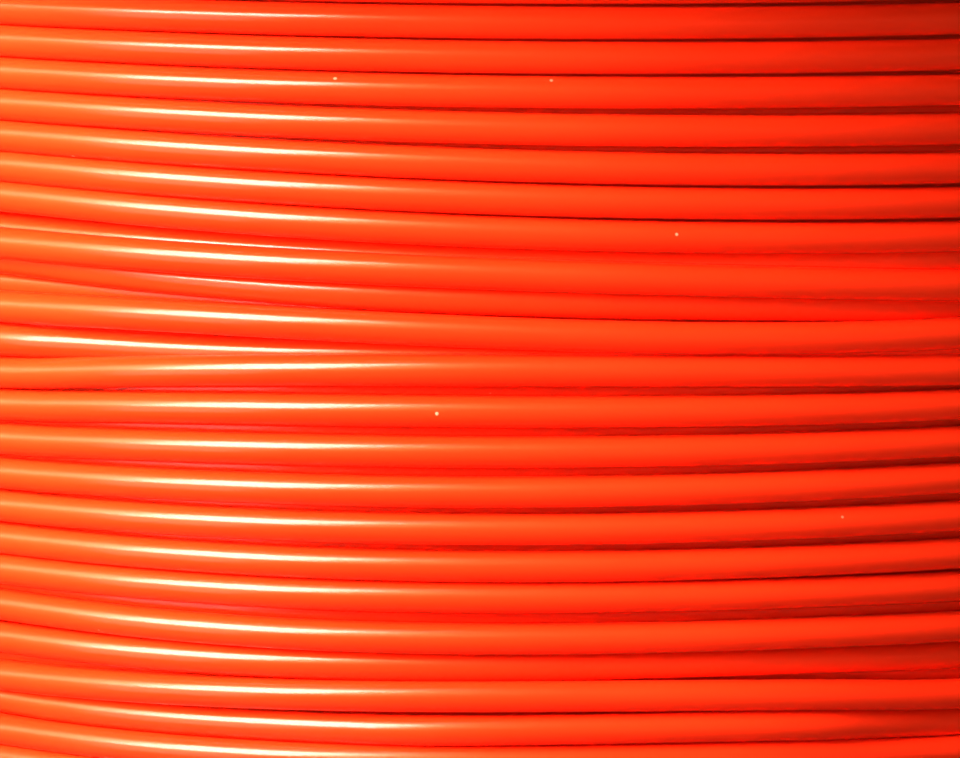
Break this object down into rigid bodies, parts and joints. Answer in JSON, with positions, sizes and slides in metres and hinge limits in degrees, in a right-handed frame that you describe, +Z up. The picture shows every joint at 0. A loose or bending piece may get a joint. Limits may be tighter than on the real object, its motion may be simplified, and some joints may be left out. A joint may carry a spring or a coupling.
{
  "type": "filament spool",
  "caption": "Refillable filament spool: windowed flanges and a hub hold a wound pack of round plastic filament on a cardboard core, closed by a turning lock ring.",
  "frame": {"origin": "centre of the circle on which the lower flange's rim rests, at the bottom of the part", "axes": "+Z up along the spool's axis, from the lower flange to the upper one; +X towards the filament's parked end"},
  "size_m": [0.2, 0.2, 0.068],
  "materials": {
    "spool_plastic": "black moulded plastic with a fine texture",
    "lock_ring_plastic": "grey moulded plastic, satin",
    "filament": "glossy orange-red extruded filament",
    "core_board": "spirally wound brown board",
    "label_paper": "plain self-adhesive label",
    "screw_steel": "stainless steel",
    "insert_brass": "turned brass"
  },
  "bodies": {
    "lower_half": {"lower_flange": "spool_plastic", "hub": "spool_plastic", "lower_label": "label_paper", "hub_screw_1": "screw_steel", "hub_screw_2": "screw_steel", "hub_screw_3": "screw_steel", "hub_screw_4": "screw_steel", "hub_screw_5": "screw_steel", "hub_screw_6": "screw_steel", "hub_insert_1": "insert_brass", "hub_insert_2": "insert_brass", "hub_insert_3": "insert_brass", "hub_insert_4": "insert_brass", "hub_insert_5": "insert_brass", "hub_insert_6": "insert_brass"},
    "refill": {"refill_core": "core_board", "filament_winding": "filament"},
    "upper_half": {"upper_flange": "spool_plastic", "upper_label": "label_paper", "filament_tail": "filament"},
    "lock": {"lock_ring": "lock_ring_plastic"}
  },
  "joints": [
    {"name": "refill_lift", "type": "slide", "parent": "lower_half", "child": "refill", "axis": [0, 0, 1], "range_m": [0, 0.07]},
    {"name": "upper_flange_lift", "type": "slide", "parent": "refill", "child": "upper_half", "axis": [0, 0, 1], "range_m": [0, 0.06]},
    {"name": "lock_ring_turn", "type": "hinge", "parent": "upper_half", "child": "lock", "pos_m": [0, 0, 0.0633], "axis": [0, 0, 1], "range_deg": [0, 45]}
  ]
}
